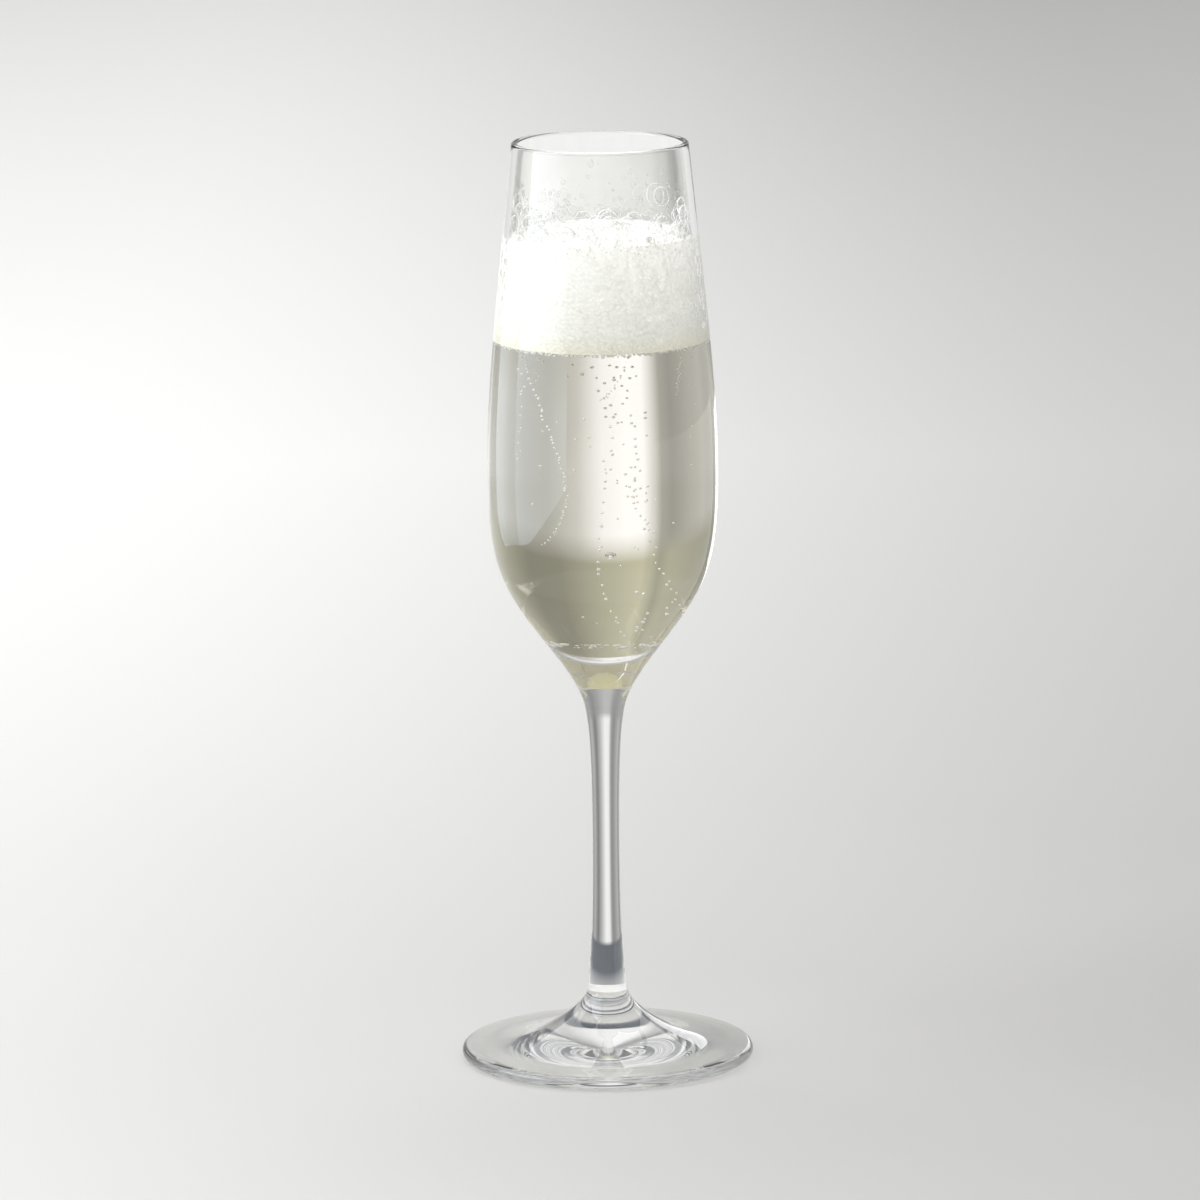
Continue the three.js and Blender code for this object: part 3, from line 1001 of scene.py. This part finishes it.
def stem_light():
    """Grey walls with one bright streak between them, low down round the stem, the dark table's
    edge below them and a grey band of painted shade above, which the very bottom of the bowl shows
    too."""
    material, tree = new_material("stem_light")
    streak = light_ramp(tree, share_of_turn(tree, WINDOWS), [
        (0.00, 0.24), (0.25, 0.42), (0.45, 0.18), (0.60, 0.48), (0.75, 0.92), (0.85, 0.88),
        (0.93, 0.34), (1.00, 0.24),
    ])
    skirting = add(tree, "ShaderNodeMix", {
        0: share_of_climb(tree, 0.001, 0.007), 6: linear("#9a9b9c"), 7: linear("#44484e"),
    }, data_type="RGBA")
    walls = add(tree, "ShaderNodeMix", {
        0: share_of_climb(tree, 0.015, 0.0165), 6: skirting.outputs[2], 7: streak,
    }, data_type="RGBA")
    # painted shade: a grey band that darkens the top of the stem and the very bottom of the bowl
    painted_shade_band = add(tree, "ShaderNodeMix", {0: 0.65, 6: streak, 7: linear("#67686a")},
                 data_type="RGBA")
    colour = add(tree, "ShaderNodeMix", {
        0: share_of_climb(tree, 0.086, 0.090), 6: walls.outputs[2], 7: painted_shade_band.outputs[2],
    }, data_type="RGBA")
    return glow_behind(material, tree, colour.outputs[2], 0, 3)


def straw_light():
    """A painted glow: straw light that stands in for the glow the thick bottom of the bowl takes
    from the drink above it.
    """
    material, tree = new_material("straw_light")
    return glow_behind(material, tree, linear("#928f74"), 0, 3)


def fading_light(name, colour, radiance, full_degrees, dim_degrees):
    """A softbox face that dims on its way round from one turn to another: down to nothing high
    up, but only by a third low down."""
    material, tree = new_material(name)
    place = add(tree, "ShaderNodeTexCoord").outputs["Object"]
    turn = add(tree, "ShaderNodeTexGradient", {"Vector": place}, gradient_type="RADIAL")
    # the gradient is a quarter at the front of the flute, and rises anticlockwise from there
    way_round = add(tree, "ShaderNodeMapRange", {
        0: turn.outputs[1], 1: 0.25 + full_degrees / 360, 2: 0.25 + dim_degrees / 360,
        3: 0.0, 4: 1.0,
    })
    late = add(tree, "ShaderNodeMath", {0: way_round.outputs[0], 1: 2.2}, operation="POWER")
    dimming = add(tree, "ShaderNodeMapRange", {
        0: share_of_climb(tree, 0.165, 0.2), 1: 0.0, 2: 1.0, 3: 0.35, 4: 1.0,
    })
    loss = add(tree, "ShaderNodeMath", {0: late.outputs[0], 1: dimming.outputs[0]},
               operation="MULTIPLY")
    soft = add(tree, "ShaderNodeMapRange", {
        0: loss.outputs[0], 1: 0.0, 2: 1.0, 3: radiance, 4: 0.0,
    })
    light = add(tree, "ShaderNodeEmission", {"Color": linear(colour), "Strength": soft.outputs[0]})
    add(tree, "ShaderNodeOutputMaterial", {"Surface": light.outputs[0]})
    return material


def sheet_over(name, radius, turn, low_heights, top_height, finish):
    """An upright sheet bent about the axis, with a lower edge of its own height at every turn."""
    a = np.radians(turn)
    low_edge = np.column_stack([radius * np.sin(a), -radius * np.cos(a), low_heights])
    top_edge = low_edge * [1, 1, 0] + [0, 0, top_height]
    here = np.arange(len(turn) - 1)
    faces = np.column_stack([here, here + 1, here + 1 + len(turn), here + len(turn)]).tolist()
    sheet = piece_from(name, np.concatenate([low_edge, top_edge]), faces, [finish])
    return sheet


def seen_only(sheet, through=False, mirrored=False):
    """A sheet that the camera, the lamps and matt surfaces miss: it shows only through the clear
    pieces, or only mirrored in them."""
    sheet.visible_camera = False
    sheet.visible_diffuse = False
    sheet.visible_shadow = False
    sheet.visible_volume_scatter = False
    sheet.visible_transmission = through
    sheet.visible_glossy = mirrored


ROOM_TOP = 0.6
JUST_OFF_FLOOR = 0.3 * MM
LEFT_CARD_BACK, LEFT_CARD_FRONT = -124, -33  # the turns that the left card runs between


def upright(radius, low_height, high_height):
    return outline(at(radius, low_height), at(radius, high_height))


def put_behind(name, points, finish):
    """A sheet all round the flute that shows only through the clear pieces."""
    seen_only(band(name, points, 0, 360, finish), through=True)


def put_beside(name, points, from_degrees, to_degrees, finish):
    """A sheet part of the way round that shows only mirrored in the clear pieces."""
    seen_only(band(name, points, from_degrees, to_degrees, finish), mirrored=True)


def make_surround():
    """What the clear pieces show and mirror: windows and walls behind the drink, a streak behind
    the stem, and the softboxes that gleam on the skin."""
    room = outline(at(0.07, JUST_OFF_FLOOR), at(0.5, JUST_OFF_FLOOR), at(0.5, ROOM_TOP))
    put_behind("surround", room, window_light())
    put_behind("backdrop_glow", upright(0.45, 0.06, ROOM_TOP), backdrop_light())
    put_behind("rim_surround", upright(0.44, 0.06, ROOM_TOP), rim_light())
    stem_walls = outline(at(0.042, JUST_OFF_FLOOR), at(0.046, 0.012), at(0.05, 0.12))
    put_behind("stem_surround", stem_walls, stem_light())
    # painted glow: the straw sheet behind the thick bottom of the bowl
    put_behind("straw_surround", upright(0.06, 0.119, 0.165), straw_light())

    # the left card's lower edge is round at the back, level beside the flute, and slants up
    # towards the front
    turn = np.linspace(LEFT_CARD_BACK, LEFT_CARD_FRONT, 61)
    lower_edge = np.interp(turn, [LEFT_CARD_BACK, -121, -116, -80, -74, LEFT_CARD_FRONT],
                           [0.114, 0.100, 0.091, 0.090, 0.093, 0.132])
    card_light = fading_light("left_card_light", "#e9f1fc", 4.0, -100, LEFT_CARD_FRONT)
    left = sheet_over("left_card", 0.16, turn, lower_edge, ROOM_TOP, card_light)
    seen_only(left, mirrored=True)
    put_beside("right_back_strip", upright(0.3, 0.045, 0.128), 150, 168,
               glow("strip_light", "#ffffff", 2.6))
    low_wall = outline(at(0.05, 0.5 * MM), at(0.3, 0.5 * MM), at(0.3, 0.138))
    put_beside("right_low_wall", low_wall, 50, 140, glow("low_wall_light", "#fbf9f4", 1.2))
    put_beside("back_card", upright(1.0, 0.55, 1.2), 135, 225,
               glow("back_card_light", "#ffffff", 2.2))


def make_studio():
    """White softboxes and a pale sky over the floor, with light paths long enough to cross all
    the clear skins."""
    world = bpy.data.worlds.new("studio")
    bpy.context.scene.world = world
    world.use_nodes = True
    world.node_tree.nodes["Background"].inputs[0].default_value = linear("#f4f6f8")
    world.node_tree.nodes["Background"].inputs[1].default_value = 0.8
    make_sweep_stage()
    make_surround()
    softbox("left_softbox", (-1.5, -0.3, 1.3), (0, 0, 0.15), 1.4, 30)
    fill = softbox("right_fill", (1.1, -1.6, 1.0), (0, 0, 0.15), 1.2, 14)
    fill.visible_glossy = False
    overhead = softbox("overhead_softbox", (-0.4, 1.4, 2.6), (-0.2, 1.2, 0), 2.4, 30)
    overhead.visible_transmission = False
    scene = bpy.context.scene
    scene.view_settings.view_transform = "Standard"
    scene.cycles.max_bounces = 32
    scene.cycles.transmission_bounces = 32
    scene.cycles.glossy_bounces = 16
    scene.cycles.transparent_max_bounces = 48


# ---------------------------------------------------------------- assembly

def fit(piece, *nodes, slot):
    """Rides a piece on the flute's one body, in place of its plain CAD nodes."""
    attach(piece, "root")
    if nodes:
        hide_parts(*nodes)


make_camera()
make_studio()
fit(make_bowl(), "bowl", slot="clear_plastic")
fit(make_stem(), "stem", slot="clear_plastic")
fit(make_foot(), "foot", slot="clear_plastic")
fit(make_champagne(), "champagne", slot="champagne")
fit(make_foam(), "foam_head", slot="foam")
fit(make_rising_bubbles(), slot="champagne")
fit(make_large_bubble(), slot="champagne")
fit(make_clinging_bubbles(), slot="champagne")
fit(make_splashes(), slot="champagne")
fit(make_film_bubbles(), slot="foam")
fit(make_wall_films(), slot="foam")
fit(make_coarse_foam(), slot="foam")
fit(make_waterline_bubbles(), slot="foam")
